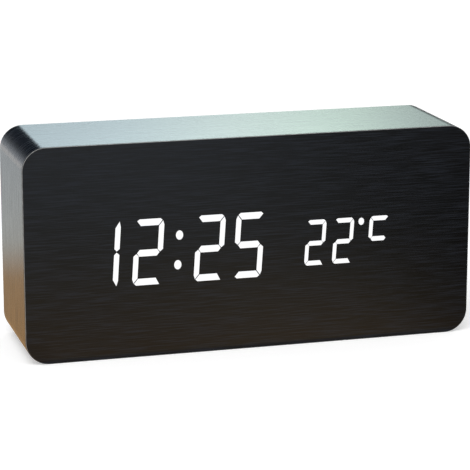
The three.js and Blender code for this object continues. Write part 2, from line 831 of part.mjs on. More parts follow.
function addBatteryDoor() {
  const left = openingLeft + fitGap;
  const right = openingRight - fitGap;
  const innerY = coverInnerY + fitGap;
  const lid = block([left, right], [innerY, coverOuterY], [hingeZ, lidTop]);
  const along = (radius, reach) => {
    const bar = slab(circlePoints(radius, roundSides), 0, reach).rotate([0, 0, 90]);
    return moved(bar, lidMiddleX + reach / 2, hingeY, hingeZ);
  };
  const pinReach = right - left + 2 * (hingePinLength + fitGap);
  const nib = block(
    [lidMiddleX - latch.nibWidth / 2, lidMiddleX + latch.nibWidth / 2],
    [innerY - latch.nibDepth, innerY + coverThickness / 2],
    [bayTop - fitGap - latch.nibHeight, bayTop - fitGap],
  );
  const ribs = Array.from({ length: gripRib.count }, (unused, index) => {
    const ribTop = lidTop - gripStart - index * gripRib.pitch;
    return block(
      [lidMiddleX - gripRib.width / 2, lidMiddleX + gripRib.width / 2],
      [coverOuterY - coverThickness / 2, coverOuterY + gripRib.proud],
      [ribTop - gripRib.height, ribTop],
    );
  });
  const slots = [-1, 1].map((side) => {
    const slotX = lidMiddleX + (side * (latch.width + latch.slot)) / 2;
    return block(
      [slotX - latch.slot / 2, slotX + latch.slot / 2],
      [innerY - cutOverrun, coverOuterY + cutOverrun],
      [lidTop - latch.length, lidTop + cutOverrun],
    );
  });
  const barrel = along(hingeRadius, right - left);
  const pins = along(hingePinRadius, pinReach);
  const shell = joined([lid, barrel, pins, nib, ...ribs]);
  addPiece('battery_door', without(shell, slots), 'blackPlastic');
}

// Cells and contacts
const cellNub = { radius: 1.9, height: 1 };
const cellEdge = 0.5;
const cellFaceDrop = 0.3;
const cellFaceShare = 0.84;

function addCells() {
  const radius = cellDiameter / 2;
  const shoulder = cellLength - cellNub.height;
  const profile = [
    [0, 0],
    [radius - cellEdge, 0],
    [radius, cellEdge],
    [radius, shoulder - cellEdge],
    [radius - cellEdge, shoulder],
    [radius * cellFaceShare, shoulder],
    [radius * cellFaceShare, shoulder - cellFaceDrop],
    [cellNub.radius, shoulder - cellFaceDrop],
    [cellNub.radius, cellLength],
    [0, cellLength],
  ];
  const upright = turned(profile, cellSides);
  const plateReach = contactThickness / 2 + touchGap;
  cellPlaces.forEach(({ name, z, plusSide }) => {
    const lying = upright.rotate([0, 0, -90 * plusSide]);
    const flatEndX = contactX(plusSide) - plusSide * (plateReach + cellLength);
    addPiece(name, moved(lying, flatEndX, cellY, z), 'cellSleeve');
  });
}

// The wire of a contact spring, wound along +X from its plate and drawn in towards the cell
class SpringWire extends THREE.Curve {
  getPoint(share, target = new THREE.Vector3()) {
    const angle = 2 * Math.PI * springCurls * share;
    const radius = THREE.MathUtils.lerp(springBaseDiameter, springTipDiameter, share) / 2;
    const rise = springLength - springWire;
    return target.set(rise * share, radius * Math.cos(angle), radius * Math.sin(angle));
  }
}

// Prints the least gap between neighbouring curls, which has to stay open
function measureSpring(wire) {
  const samplesPerCurl = 48;
  const points = wire.getPoints(samplesPerCurl * springCurls);
  let least = Infinity;
  points.forEach((point, index) => {
    points.slice(index + samplesPerCurl / 2).forEach((other) => {
      least = Math.min(least, point.distanceTo(other) - springWire);
    });
  });
  console.log(`contact spring: least gap between curls ${least.toFixed(2)} mm`);
}

function springSolid() {
  const wire = new SpringWire();
  measureSpring(wire);
  const section = new THREE.Shape(circlePoints(springWire / 2, springSides));
  return solidOf(new THREE.ExtrudeGeometry(section, {
    steps: springCurls * springStepsPerCurl,
    extrudePath: wire,
    bevelEnabled: false,
  }));
}

const contactHalf = 4;
const contactTabReach = 2;
const contactFrontY = cellY - contactHalf;
const contactTabEndY = trayBackY - contactTabReach;

function contactPlate(side, lowZ, highZ) {
  const middleX = contactX(side);
  return block(
    [middleX - contactThickness / 2, middleX + contactThickness / 2],
    [contactFrontY, cellY + contactHalf],
    [lowZ - contactHalf, highZ + contactHalf],
  );
}

function contactTab(side, z) {
  const middleX = contactX(side);
  return block(
    [middleX - contactThickness / 2, middleX + contactThickness / 2],
    [contactTabEndY, cellY],
    [z - contactTabWidth / 2, z + contactTabWidth / 2],
  );
}

function addContacts() {
  const spring = springSolid();
  const placedSpring = (cell) => {
    const turn = cell.plusSide > 0 ? 0 : 180;
    return moved(spring.rotate([0, 0, turn]), contactX(-cell.plusSide), cellY, cell.z);
  };
  const [first, second, third] = cellPlaces;
  const pieces = {
    contact_positive_end: [contactPlate(1, first.z, first.z), contactTab(1, first.z)],
    contact_bridge_left: [contactPlate(-1, second.z, first.z), placedSpring(first)],
    contact_bridge_right: [contactPlate(1, third.z, second.z), placedSpring(second)],
    contact_negative_end: [
      contactPlate(-1, third.z, third.z),
      contactTab(-1, third.z),
      placedSpring(third),
    ],
  };
  Object.entries(pieces).forEach(([name, solids]) => addPiece(name, joined(solids), 'steel'));
}

// The key board and what it carries
const microphoneRadius = 3;
const microphoneHeight = 2.7;
const microphoneEdge = 0.4;
const probe = { radius: 1.2, length: 3, legs: 2.2, legRadius: 0.3, legPitch: 1.2 };
const probeNeckShare = 0.6;
const plungerRadius = 1.7;
const plungerLift = 1;
const plungerSeat = 0.8;
const capEdge = 0.5;
const stemRadius = 1.5;
const markHeight = 0.25;
const markRadius = 1.7;
const markInnerShare = 0.6;
const triangleSides = 3;
const wellDepth = plungerSeat + buttonTravel + fitGap;
const plungerTopY = keyBoardRearY + switchHeight + plungerLift;

function addKeyBoard() {
  const outline = rectanglePoints(
    keyBoardX - keyBoardLength / 2,
    keyBoardX + keyBoardLength / 2,
    middleZ - keyBoardHeight / 2,
    middleZ + keyBoardHeight / 2,
  );
  const holes = keyScrewPlaces.map(([x, z]) => (
    circlePoints(keyScrew.shank + threadGap, screwSides, x, z)
  ));
  const board = piercedSlab(outline, keyBoardFrontY, keyBoardRearY, holes);
  addPiece('key_board', board, 'circuitBoard');
  addScrews('key_board_screw', keyScrew, boardThickness, keyScrewPlaces, keyBoardFrontY, -1, false);
}

function addSwitch({ name, x }) {
  const topY = keyBoardRearY + switchHeight;
  const body = block(
    [x - switchWidth / 2, x + switchWidth / 2],
    [keyBoardRearY, topY],
    [buttonZ - switchWidth / 2, buttonZ + switchWidth / 2],
  );
  const well = rod(plungerRadius + fitGap, topY - wellDepth, topY + cutOverrun, x, buttonZ);
  addPiece(`${name}_switch`, body.subtract(well), 'chipPlastic');
  const plunger = rod(plungerRadius, topY - plungerSeat, plungerTopY, x, buttonZ);
  addPiece(`${name}_plunger`, plunger, 'whitePlastic');
}

// The raised sign on a button: a ring on set, and a triangle on up and on down
function buttonMark(name, fromY, toY) {
  if (name === 'set') {
    const inner = circlePoints(markRadius * markInnerShare, roundSides);
    return piercedSlab(circlePoints(markRadius, roundSides), fromY, toY, [inner]);
  }
  const upright = name === 'up' ? 1 : -1;
  const triangle = circlePoints(markRadius, triangleSides).map((point) => (
    new THREE.Vector2(point.y, upright * point.x)
  ));
  return slab(triangle, fromY, toY);
}

function addButton({ name, x }) {
  const flangeTop = coverInnerY - fitGap;
  const capTop = coverOuterY + buttonProud - markHeight;
  const radius = buttonDiameter / 2;
  const cap = turned([
    [0, plungerTopY + touchGap],
    [stemRadius, plungerTopY + touchGap],
    [stemRadius, flangeTop - flange.thickness],
    [flange.radius, flangeTop - flange.thickness],
    [flange.radius, flangeTop],
    [radius, flangeTop],
    [radius, capTop - capEdge],
    [radius - capEdge, capTop],
    [0, capTop],
  ]);
  const mark = buttonMark(name, capTop - capEdge, capTop + markHeight);
  addPiece(`${name}_button`, moved(cap.add(mark), x, 0, buttonZ), 'blackPlastic');
}

// The socket for a low-voltage plug: a square body, a round collar in the cover, and a centre pin
const socketHalf = 3.4;
const socketPinRadius = 0.6;
const socketFloor = 1.2;
const socketPinDrop = 1;

function addPowerSocket() {
  const body = block(
    [keyBoardX - socketHalf, keyBoardX + socketHalf],
    [keyBoardRearY, coverInnerY - fitGap],
    [socketZ - socketHalf, socketZ + socketHalf],
  );
  const collar = rod(collarRadius, coverInnerY - cutOverrun, coverOuterY, keyBoardX, socketZ);
  const floorY = keyBoardRearY + socketFloor;
  const bore = rod(socketBore / 2, floorY, coverOuterY + cutOverrun, keyBoardX, socketZ);
  const pinTip = coverOuterY - socketPinDrop;
  const pin = rod(socketPinRadius, keyBoardRearY + socketFloor / 2, pinTip, keyBoardX, socketZ, screwSides);
  addPiece('power_socket', body.add(collar).subtract(bore).add(pin), 'chipPlastic');
}

function addMicrophone() {
  const shape = turned([
    [0, 0],
    [microphoneRadius, 0],
    [microphoneRadius, microphoneHeight - microphoneEdge],
    [microphoneRadius - microphoneEdge, microphoneHeight],
    [0, microphoneHeight],
  ]);
  addPiece('microphone', moved(shape, microphoneX, keyBoardRearY, socketZ), 'steel');
}

function addTemperatureProbe() {
  const bead = turned([
    [0, 0],
    [probe.radius * probeNeckShare, 0],
    [probe.radius, probe.length / 2],
    [probe.radius * probeNeckShare, probe.length],
    [0, probe.length],
  ], screwSides);
  const beadY = keyBoardRearY + probe.legs;
  const legs = [-1, 1].map((side) => rod(
    probe.legRadius,
    keyBoardRearY,
    beadY + probe.length / 2,
    probeX + (side * probe.legPitch) / 2,
    socketZ,
    springSides,
  ));
  addPiece('temperature_probe', joined([moved(bead, probeX, beadY, socketZ), ...legs]), 'chipPlastic');
}

// The ribbon cable between the two boards
const ribbonSocket = { length: 12, width: 5, height: 5 };
const ribbonWidth = 9;
const ribbonThickness = 0.9;
const ribbonStep = 6;
const ribbonSwingShare = 0.9;
const ribbonSteps = 14;
const ribbonFrontZ = middleZ + ribbonStep;
const ribbonRearZ = middleZ - ribbonStep;

function addRibbon() {
  const socketAt = (fromY, toY, z) => block(
    [keyBoardX - ribbonSocket.length / 2, keyBoardX + ribbonSocket.length / 2],
    [fromY, toY],
    [z - ribbonSocket.width / 2, z + ribbonSocket.width / 2],
  );
  const startY = boardRearY + ribbonSocket.height;
  const endY = keyBoardFrontY - ribbonSocket.height;
  addPiece('ribbon_socket_front', socketAt(boardRearY, startY, ribbonFrontZ), 'whitePlastic');
  addPiece('ribbon_socket_rear', socketAt(endY, keyBoardFrontY, ribbonRearZ), 'whitePlastic');
  const from = new THREE.Vector2(startY + fitGap, ribbonFrontZ);
  const to = new THREE.Vector2(endY - fitGap, ribbonRearZ);
  const swing = (to.x - from.x) * ribbonSwingShare;
  const path = new THREE.CubicBezierCurve(
    from,
    new THREE.Vector2(from.x + swing, from.y),
    new THREE.Vector2(to.x - swing, to.y),
    to,
  );
  const sidePoints = (side) => Array.from({ length: ribbonSteps + 1 }, (unused, index) => {
    const share = index / ribbonSteps;
    const tangent = path.getTangent(share);
    const normal = new THREE.Vector2(-tangent.y, tangent.x);
    return path.getPoint(share).addScaledVector(normal, (side * ribbonThickness) / 2);
  });
  const outline = [...sidePoints(-1), ...sidePoints(1).reverse()];
  const shape = new THREE.Shape(outline);
  const geometry = new THREE.ExtrudeGeometry(shape, { depth: ribbonWidth, bevelEnabled: false });
  geometry.rotateX(Math.PI / 2);
  geometry.rotateZ(Math.PI / 2);
  geometry.translate(keyBoardX - ribbonWidth / 2, 0, 0);
  addPiece('ribbon_cable', solidOf(geometry), 'ribbonGrey');
}

// The two leads from the end contacts to the key board
const leadRadius = 0.65;
const leadDrop = 2.6;
const leadRise = 3;
const leadInset = 4;
const leadStepShare = 2.6;

function addLead(name, side, cell, padZ, finish) {
  const startX = contactX(side);
  const startY = contactTabEndY - touchGap;
  const lowY = startY - leadDrop;
  const padX = keyBoardX + keyBoardLength / 2 - leadInset;
  const padY = keyBoardFrontY - touchGap;
  const route = new THREE.CatmullRomCurve3([
    new THREE.Vector3(startX, startY, cell.z),
    new THREE.Vector3(startX, startY - leadDrop / 2, cell.z),
    new THREE.Vector3(startX - leadRise, lowY, cell.z),
    new THREE.Vector3((startX + padX) / 2, lowY, (cell.z + padZ) / 2),
    new THREE.Vector3(padX + leadRise, lowY, padZ),
    new THREE.Vector3(padX, lowY + leadRise, padZ),
    new THREE.Vector3(padX, padY - leadRise, padZ),
    new THREE.Vector3(padX, padY, padZ),
  ]);
  const section = new THREE.Shape(circlePoints(leadRadius, leadSides));
  const geometry = new THREE.ExtrudeGeometry(section, {
    steps: Math.round(route.getLength() / (2 * leadRadius * leadStepShare)),
    extrudePath: route,
    bevelEnabled: false,
  });
  addPiece(name, solidOf(geometry), finish);
}

addCaseBody();
addSideWrap();
addFrontFace();
addDiffuser();
addReflector();
addDisplayBoard();
addControllerChip();
addCrystal();
addBuzzer();
addRearCover();
addBatteryDoor();
addCells();
addContacts();
addKeyBoard();
buttons.forEach(addSwitch);
buttons.forEach(addButton);
addPowerSocket();
addMicrophone();
addTemperatureProbe();
addRibbon();
addLead('battery_lead_red', 1, topCell, middleZ + leadInset, 'leadRed');
addLead('battery_lead_black', -1, bottomCell, middleZ - leadInset, 'leadBlack');

export default clock;
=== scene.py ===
import math

import bpy
from mathutils import Euler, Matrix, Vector


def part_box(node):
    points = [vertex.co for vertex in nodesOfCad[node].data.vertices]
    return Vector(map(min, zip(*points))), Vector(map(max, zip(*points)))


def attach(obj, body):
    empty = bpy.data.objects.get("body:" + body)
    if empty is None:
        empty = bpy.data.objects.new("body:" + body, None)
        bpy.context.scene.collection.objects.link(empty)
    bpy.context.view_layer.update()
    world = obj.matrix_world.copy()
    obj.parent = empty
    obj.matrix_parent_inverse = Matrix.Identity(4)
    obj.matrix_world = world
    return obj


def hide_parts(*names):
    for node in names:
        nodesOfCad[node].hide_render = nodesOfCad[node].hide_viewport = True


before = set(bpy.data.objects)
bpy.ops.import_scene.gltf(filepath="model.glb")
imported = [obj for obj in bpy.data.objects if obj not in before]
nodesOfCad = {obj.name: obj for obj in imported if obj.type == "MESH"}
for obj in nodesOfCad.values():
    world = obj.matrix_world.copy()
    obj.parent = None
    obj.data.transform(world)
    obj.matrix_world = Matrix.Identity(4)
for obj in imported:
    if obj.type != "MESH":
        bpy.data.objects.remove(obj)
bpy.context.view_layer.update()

mm = 0.001  # sizes below are in millimetres

# camera, fitted to the photographed edges

cameraSetup = {
    "place": (-192.63, -677.07, 203.85),
    "turnRight": 0.2769,  # radians
    "lookDown": 0.2376,
    "lens": 166.76,
    "sensor": 36,
    "farthest": 50000,
}


def setCamera():
    setup = cameraSetup
    turn = Euler((math.pi / 2 - setup["lookDown"], 0, -setup["turnRight"]))
    bpy.ops.object.camera_add(location=Vector(setup["place"]) * mm, rotation=turn)
    camera = bpy.context.object
    camera.name = "photoCamera"
    camera.data.lens = setup["lens"]
    camera.data.sensor_width = setup["sensor"]
    camera.data.clip_end = setup["farthest"] * mm
    bpy.context.scene.camera = camera
    bpy.context.scene.view_settings.view_transform = "Standard"


setCamera()
print("camera set")


# picking and shaping

shaping = {
    "sharpEdge": 30, "smoothBelow": 50, "flatWithin": 0.4,  # degrees
    "near": 0.01, "mergeWithin": 0.002,  # millimetres
    "flatWeight": 60,
}


def pickOnly(*pieces):
    bpy.ops.object.select_all(action="DESELECT")
    for piece in pieces:
        piece.select_set(True)
    bpy.context.view_layer.objects.active = pieces[0]


def enterEdit():
    bpy.ops.object.mode_set(mode="EDIT")


def leaveEdit():
    bpy.ops.object.mode_set(mode="OBJECT")


def editAll(piece):
    pickOnly(piece)
    enterEdit()
    bpy.ops.mesh.select_all(action="SELECT")


def isNear(first, second):
    return abs(first - second) < shaping["near"]


def isFrontOrBack(normal):
    return abs(normal.y) > 0.5


def clearPicks(piece, kind):
    pickOnly(piece)
    enterEdit()
    bpy.ops.mesh.select_mode(type=kind)
    bpy.ops.mesh.select_all(action="DESELECT")
    leaveEdit()


def pickFaces(piece, test):
    # leaves the piece in edit mode with the faces picked whose middle and normal pass the test
    clearPicks(piece, "FACE")
    for face in piece.data.polygons:
        face.select = test(face.center / mm, face.normal)
    enterEdit()


def pickEdges(piece, test):
    # the same for edges, by the places of their two ends
    clearPicks(piece, "EDGE")
    corners = piece.data.vertices
    for edge in piece.data.edges:
        first, second = edge.vertices
        edge.select = test(corners[first].co / mm, corners[second].co / mm)
    enterEdit()


def pickCorners(piece, test):
    # and for corners, by their places
    clearPicks(piece, "VERT")
    for corner in piece.data.vertices:
        corner.select = test(corner.co / mm)
    enterEdit()


def turnNormalsOut(piece):
    editAll(piece)
    bpy.ops.mesh.normals_make_consistent(inside=False)
    leaveEdit()


def settle(piece):
    # its place, turn and scale go into its mesh
    pickOnly(piece)
    bpy.ops.object.transform_apply(location=True, rotation=True, scale=True)


def applyModifier(piece, kind, **settings):
    pickOnly(piece)
    modifier = piece.modifiers.new(kind.lower(), kind)
    for key, value in settings.items():
        setattr(modifier, key, value)
    bpy.ops.object.modifier_apply(modifier=modifier.name)


def softenEdges(piece, width):
    # a small round on every sharp edge, and clean shading over the flats
    applyModifier(
        piece, "BEVEL", width=width * mm, segments=2, limit_method="ANGLE",
        angle_limit=math.radians(shaping["sharpEdge"]), use_clamp_overlap=True,
        miter_outer="MITER_ARC",
    )
    smoothFlats(piece)


def smoothFlats(piece, angle=shaping["smoothBelow"]):
    pickOnly(piece)
    bpy.ops.object.shade_smooth_by_angle(angle=math.radians(angle))
    applyModifier(piece, "WEIGHTED_NORMAL", keep_sharp=True, weight=shaping["flatWeight"])


def addBlock(name, low, high):
    low, high = Vector(low) * mm, Vector(high) * mm
    bpy.ops.object.select_all(action="DESELECT")
    bpy.ops.mesh.primitive_cube_add(size=1, location=(low + high) / 2, scale=high - low)
    piece = bpy.context.object
    piece.name = name
    settle(piece)
    return piece


def addTurned(name, profile, sides, turn):
    # a disc drawn out and scaled ring by ring along Z, then turned over the origin
    bpy.ops.object.select_all(action="DESELECT")
    radius, along = profile[0]
    bpy.ops.mesh.primitive_circle_add(
        vertices=sides, radius=radius * mm, fill_type="NGON", location=(0, 0, along * mm),
    )
    piece = bpy.context.object
    piece.name = name
    settle(piece)
    enterEdit()
    bpy.ops.mesh.select_mode(type="FACE")
    bpy.ops.mesh.select_all(action="SELECT")
    for nextRadius, nextAlong in profile[1:]:
        rise = (0, 0, (nextAlong - along) * mm)
        bpy.ops.mesh.extrude_region_move(TRANSFORM_OT_translate={"value": rise})
        grow = nextRadius / radius
        bpy.ops.transform.resize(value=(grow, grow, 1), center_override=(0, 0, nextAlong * mm))
        radius, along = nextRadius, nextAlong
    leaveEdit()
    turnNormalsOut(piece)
    piece.rotation_euler = turn
    settle(piece)
    return piece


def joinInto(piece, *others):
    pickOnly(piece, *others)
    bpy.ops.object.join()


def copyOf(piece, name):
    # a copy with its own mesh
    twin = piece.copy()
    twin.data = piece.data.copy()
    twin.name = name
    bpy.context.scene.collection.objects.link(twin)
    return twin


def laidAt(piece, x, y, z, turn=(0, 0, 0)):
    piece.rotation_euler = turn
    piece.location = Vector((x, y, z)) * mm
    settle(piece)


def placeOf(node):
    # the node's lowest and highest corners and its middle, in millimetres
    low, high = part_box(node)
    return low / mm, high / mm, (low + high) / 2 / mm


def cutWith(piece, cutter):
    applyModifier(piece, "BOOLEAN", operation="DIFFERENCE", solver="EXACT", object=cutter)
    bpy.data.objects.remove(cutter, do_unlink=True)


def mergedCopy(node, name):
    # the CAD node's shape, with the corners of its loose triangles merged
    piece = bpy.data.objects.new(name, nodesOfCad[node].data.copy())
    bpy.context.scene.collection.objects.link(piece)
    pickOnly(piece)
    if piece.data.has_custom_normals:
        bpy.ops.mesh.customdata_custom_splitnormals_clear()
    editAll(piece)
    bpy.ops.mesh.remove_doubles(threshold=shaping["mergeWithin"] * mm)
    leaveEdit()
    return piece


def cutAcross(piece, columns, rows):
    # straight seams through the openings and ribs, so that no flat has to close round one
    pickOnly(piece)
    enterEdit()
    for axis, places in ((0, columns), (2, rows)):
        for place in places:
            middle, normal = Vector(), Vector()
            middle[axis], normal[axis] = place * mm, 1
            bpy.ops.mesh.select_all(action="SELECT")
            bpy.ops.mesh.bisect(plane_co=middle, plane_no=normal)
            bpy.ops.mesh.mark_seam()
    leaveEdit()


def dissolveFlats(piece):
    # whole faces in place of triangles, kept apart along the seams
    editAll(piece)
    bpy.ops.mesh.dissolve_limited(
        angle_limit=math.radians(shaping["flatWithin"]), delimit={"SEAM"})
    leaveEdit()


def wear(piece, *materials):
    piece.data.materials.clear()
    for material in materials:
        piece.data.materials.append(material)


def standFor(piece, body, slot, *nodes):
    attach(piece, body)
    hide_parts(*nodes)


# what the materials are built with

def grey(level):
    return (level, level, level)


def evenly(size):
    # a pattern of this size in millimetres along every axis
    return (1 / (size * mm),) * 3


def setStops(ramp, stops):
    marks = ramp.color_ramp.elements
    while len(marks) < len(stops):
        marks.new(0.5)
    for mark, (share, colour) in zip(marks, stops):
        mark.position = share
        mark.color = (*colour, 1)


class Finish:
    # a new material with its shader, and short calls for the nodes that feed it

    def __init__(self, name, roughness, metallic=0.0, ior=1.5):
        self.material = bpy.data.materials.new(name)
        self.material.use_nodes = True
        tree = self.material.node_tree
        self.nodes, self.links = tree.nodes, tree.links
        self.shader = self.nodes["Principled BSDF"]
        self.set("Roughness", roughness)
        self.set("Metallic", metallic)
        self.set("IOR", ior)

    def set(self, socket, value):
        self.shader.inputs[socket].default_value = value

    def feed(self, socket, output):
        self.links.new(output, self.shader.inputs[socket])

    def place(self, scale, uvMap=None, turn=(0, 0, 0)):
        # coordinates stretched by a scale in patterns per metre along each axis
        if uvMap:
            source = self.nodes.new("ShaderNodeUVMap")
            source.uv_map = uvMap
            output = source.outputs["UV"]
        else:
            source = self.nodes.new("ShaderNodeTexCoord")
            output = source.outputs["Object"]
        mapping = self.nodes.new("ShaderNodeMapping")
        mapping.inputs["Scale"].default_value = scale
        mapping.inputs["Rotation"].default_value = turn
        self.links.new(output, mapping.inputs["Vector"])
        return mapping.outputs["Vector"]

    def noise(self, place, detail, roughness, distortion=0.0):
        noise = self.nodes.new("ShaderNodeTexNoise")
        noise.inputs["Scale"].default_value = 1.0
        noise.inputs["Detail"].default_value = detail
        noise.inputs["Roughness"].default_value = roughness
        noise.inputs["Distortion"].default_value = distortion
        self.links.new(place, noise.inputs["Vector"])
        return noise.outputs["Fac"]

    def ramp(self, value, *stops):
        ramp = self.nodes.new("ShaderNodeValToRGB")
        setStops(ramp, stops)
        self.links.new(value, ramp.inputs["Fac"])
        return ramp.outputs["Color"]

    def span(self, value, low, high, fromLow=0.0, fromHigh=1.0):
        # the value brought from its own range to the one from low to high
        span = self.nodes.new("ShaderNodeMapRange")
        span.inputs["From Min"].default_value = fromLow
        span.inputs["From Max"].default_value = fromHigh
        span.inputs["To Min"].default_value = low
        span.inputs["To Max"].default_value = high
        self.links.new(value, span.inputs["Value"])
        return span.outputs["Result"]

    def sum(self, first, second, weight):
        # first plus weight times second
        node = self.nodes.new("ShaderNodeMath")
        node.operation = "MULTIPLY_ADD"
        self.links.new(second, node.inputs[0])
        node.inputs[1].default_value = weight
        self.links.new(first, node.inputs[2])
        return node.outputs["Value"]

    def bump(self, height, depth):
        bump = self.nodes.new("ShaderNodeBump")
        bump.inputs["Distance"].default_value = depth * mm
        self.links.new(height, bump.inputs["Height"])
        self.feed("Normal", bump.outputs["Normal"])


# the black wood-grain films

filmLooks = {
    "grainedFrontFilm": {
        "ior": 1.24, "roughness": (0.28, 0.40),
        "tint": (0.74, 0.93, 1.4), "tones": (0.0004, 0.0026, 0.0098),
        "streaks": (11, 0.25), "bands": (60, 3.2), "pores": (3.2, 0.2),
        "bandShare": 0.06, "bumpDepth": 0.01, "uvMap": None,
    },
    "grainedWrapFilm": {
        "ior": 1.55, "roughness": (0.20, 0.30),
        "tint": (0.7, 1, 1.4), "tones": (0.001, 0.0035, 0.009),
        "streaks": (14, 1.1), "bands": (70, 5), "pores": (3.2, 0.2),
        "bandShare": 0.2, "bumpDepth": 0.004, "uvMap": "wrapAlong",
    },
}
grainDetail = {
    "toneReach": 0.12, "sheenFrom": 0.3, "sheenTo": 0.7,
    "poreFrom": 0.66, "poreTo": 0.72, "poreDepth": 0.8,
}


def makeGrainedFilm(name):
    # black wood-grain film; its grain runs along X, or along U where it is wrapped
    look, detail = filmLooks[name], grainDetail
    uvMap = look["uvMap"]
    smoothest, roughest = look["roughness"]
    finish = Finish(name, (smoothest + roughest) / 2, ior=look["ior"])

    def stretched(size):
        length, width = size
        along, across = 1 / (length * mm), 1 / (width * mm)
        return finish.place((along, across, 1) if uvMap else (along, along, across), uvMap)

    streaks = finish.noise(stretched(look["streaks"]), detail=2, roughness=0.5)
    bands = finish.noise(stretched(look["bands"]), detail=2, roughness=0.5)
    pores = finish.noise(stretched(look["pores"]), detail=1, roughness=0.4)
    poreMask = finish.span(pores, 0, 1, detail["poreFrom"], detail["poreTo"])
    tone = finish.sum(streaks, bands, look["bandShare"])
    centre, reach = 0.5 + look["bandShare"] / 2, detail["toneReach"]
    darkest, middle, lightest = (
        [share * level for share in look["tint"]] for level in look["tones"])
    finish.feed("Base Color", finish.ramp(
        tone, (centre - reach, darkest), (centre, middle), (centre + reach, lightest)))
    finish.feed("Roughness", finish.span(
        streaks, smoothest, roughest, detail["sheenFrom"], detail["sheenTo"]))
    finish.bump(finish.sum(streaks, poreMask, -detail["poreDepth"]), look["bumpDepth"])
    return finish.material


frontFilmLook = makeGrainedFilm("grainedFrontFilm")
wrapFilmLook = makeGrainedFilm("grainedWrapFilm")

# tones of the painted highlight on the front film's rim
rimHighlightTones = {"dark": 0.14, "light": 0.24, "speckSize": 2.5}


def makeRimHighlight():
    # the rim of the front film, paler than its face: the pale grey is a painted highlight of the
    # light line along the edge
    tones = rimHighlightTones
    finish = Finish("paintedRimHighlight", 0.45)
    specks = finish.noise(finish.place(evenly(tones["speckSize"])), detail=3, roughness=0.6)
    finish.feed("Base Color", finish.ramp(
        specks, (0.35, grey(tones["dark"])), (0.65, grey(tones["light"]))))
    return finish.material


rimHighlightLook = makeRimHighlight()

readoutLight = {
    "dimmest": (0.93, 0.95, 1.0), "brightest": (1.0, 1.0, 1.0), "strength": 1.0, "unlit": 0.01,
    "grain": (40, 40, 1800),
}


def makeLitReadout():
    # white light that shows the film's grain faintly
    light = readoutLight
    finish = Finish("litReadout", 0.5)
    finish.set("Base Color", (*grey(light["unlit"]), 1))
    streaks = finish.noise(finish.place(light["grain"]), detail=2, roughness=0.5)
    glow = finish.ramp(streaks, (0.25, light["dimmest"]), (0.6, light["brightest"]))
    finish.feed("Emission Color", glow)
    finish.set("Emission Strength", light["strength"])
    return finish.material


litLook = makeLitReadout()


# front film and its lit readout

frontFilmSizes = {
    "length": 150, "height": 70.5, "front": -20, "back": -19.5,
    "corner": 7.7, "cornerSteps": 24, "rim": 0.17, "rimSteps": 3, "outlineSlack": 0.05,
    "readoutEnd": 62, "readoutFoot": 15, "readoutTop": 55,
    "cutterReach": 1, "sheetFront": -19.4, "barRoot": 0.2,
    "leastSlant": 0.1, "mostSlant": 0.995,
}


def roundLongCorners(piece, radius, steps):
    # the four edges that run from front to back
    def runsBack(first, second):
        return isNear(first.x, second.x) and isNear(first.z, second.z)

    pickEdges(piece, runsBack)
    bpy.ops.mesh.bevel(offset=radius * mm, segments=steps, affect="EDGES")
    leaveEdit()


def makeReadoutBars():
    # the window walls of the film, closed front and back
    sizes = frontFilmSizes

    def isNoWall(middle, normal):
        beside = abs(middle.x) > sizes["readoutEnd"]
        level = sizes["readoutFoot"] <= middle.z <= sizes["readoutTop"]
        return isFrontOrBack(normal) or beside or not level

    bars = mergedCopy("front_face", "readoutBars")
    pickFaces(bars, isNoWall)
    bpy.ops.mesh.delete(type="FACE")
    bpy.ops.mesh.select_all(action="SELECT")
    bpy.ops.mesh.fill_holes(sides=0)
    leaveEdit()
    dissolveFlats(bars)
    turnNormalsOut(bars)
    return bars


def makeFront():
    sizes = frontFilmSizes
    half = sizes["length"] / 2
    bars = makeReadoutBars()
    cutter = copyOf(bars, "windowCutter")
    for side, end in ((-1, sizes["front"]), (1, sizes["back"])):
        pickCorners(cutter, lambda place: isNear(place.y, end))
        bpy.ops.transform.translate(value=(0, side * sizes["cutterReach"] * mm, 0))
        leaveEdit()
    film = addBlock(
        "frontFilm", (-half, sizes["front"], 0), (half, sizes["back"], sizes["height"]))
    roundLongCorners(film, sizes["corner"], sizes["cornerSteps"])
    cutWith(film, cutter)

    def onFrontOutline(place):
        inset, middle = sizes["corner"], sizes["height"] / 2
        dx = max(abs(place.x) - (half - inset), 0)
        dz = max(abs(place.z - middle) - (middle - inset), 0)
        outside = math.hypot(dx, dz) > inset - sizes["outlineSlack"]
        return outside and isNear(place.y, sizes["front"])

    pickEdges(film, lambda first, second: onFrontOutline(first) and onFrontOutline(second))
    bpy.ops.mesh.bevel(offset=sizes["rim"] * mm, segments=sizes["rimSteps"], affect="EDGES")
    leaveEdit()
    smoothFlats(film)
    wear(film, frontFilmLook, rimHighlightLook)
    # the slanted rim faces wear the pale painted highlight, the rest the grained film
    for face in film.data.polygons:
        onRim = sizes["leastSlant"] < abs(face.normal.y) < sizes["mostSlant"]
        face.material_index = 1 if onRim else 0
    standFor(film, "case", "face_film", "front_face")

    # the bars stand on the diffuser's sheet, which lies behind the film
    low, high = placeOf("display_diffuser")[:2]
    sheet = addBlock(
        "diffuserSheet", (low.x, sizes["sheetFront"], low.z), (high.x, high.y, high.z))
    pickCorners(bars, lambda place: place.y > sizes["back"] - shaping["near"])
    bpy.ops.transform.translate(value=(0, sizes["barRoot"] * mm, 0))
    leaveEdit()
    joinInto(bars, sheet)
    wear(bars, litLook)
    standFor(bars, "case", "lit_film", "display_diffuser")


makeFront()
print("front film and readout made")


# film wrapped round the four sides

wrapSizes = {
    "length": 150, "height": 70.5, "front": -19.4, "back": 20, "thickness": 0.4,
    "corner": 7.7, "cornerSteps": 24, "rim": 0.12, "cornerSlack": 0.001,
}


